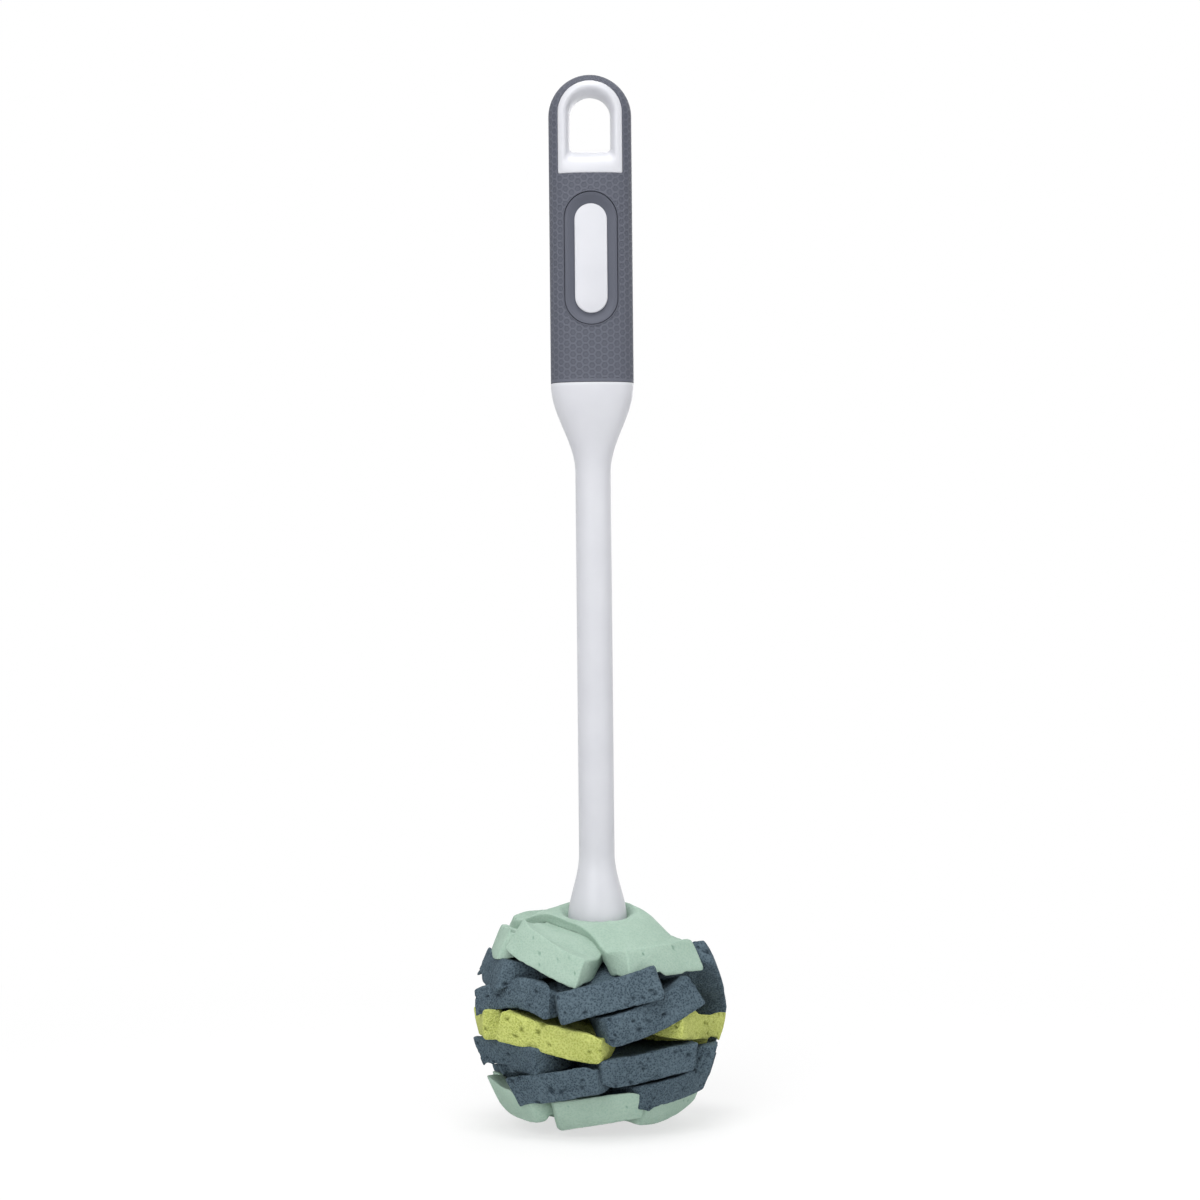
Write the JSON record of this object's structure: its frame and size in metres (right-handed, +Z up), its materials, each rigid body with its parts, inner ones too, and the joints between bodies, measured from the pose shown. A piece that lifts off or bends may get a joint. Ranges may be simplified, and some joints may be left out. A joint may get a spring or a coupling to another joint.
{
  "type": "dish brush",
  "caption": "Hanging dish brush: white plastic handle with a soft grey grip and a hanging loop, and a ball head of crossed foam strips",
  "frame": {"origin": "crown of the hanging hole on the brush's centre line, where a hook bears", "axes": "+Z runs up the handle from the foam head to the hanging loop, +X is to the right and -Y is the front face with the window"},
  "size_m": [0.0872, 0.0876, 0.3544],
  "materials": {
    "white_plastic": "satin moulded white polypropylene",
    "grip_rubber": "matt grey soft-touch rubber with a fine honeycomb",
    "mint_foam": "fine-celled mint polyurethane foam, die cut",
    "slate_foam": "coarse open-celled slate-blue polyurethane foam, die cut",
    "lime_foam": "coarse open-celled lime polyurethane foam, die cut"
  },
  "bodies": {
    "root": {"handle_core": "white_plastic", "grip_sleeve": "grip_rubber", "retaining_pin": "white_plastic", "mint_foam_1": "mint_foam", "mint_foam_2": "mint_foam", "mint_foam_3": "mint_foam", "mint_foam_4": "mint_foam", "mint_foam_5": "mint_foam", "mint_foam_6": "mint_foam", "slate_foam_1": "slate_foam", "slate_foam_2": "slate_foam", "slate_foam_3": "slate_foam", "slate_foam_4": "slate_foam", "slate_foam_5": "slate_foam", "slate_foam_6": "slate_foam", "slate_foam_7": "slate_foam", "slate_foam_8": "slate_foam", "slate_foam_9": "slate_foam", "slate_foam_10": "slate_foam", "slate_foam_11": "slate_foam", "slate_foam_12": "slate_foam", "lime_foam_1": "lime_foam", "lime_foam_2": "lime_foam", "lime_foam_3": "lime_foam"}
  },
  "joints": []
}
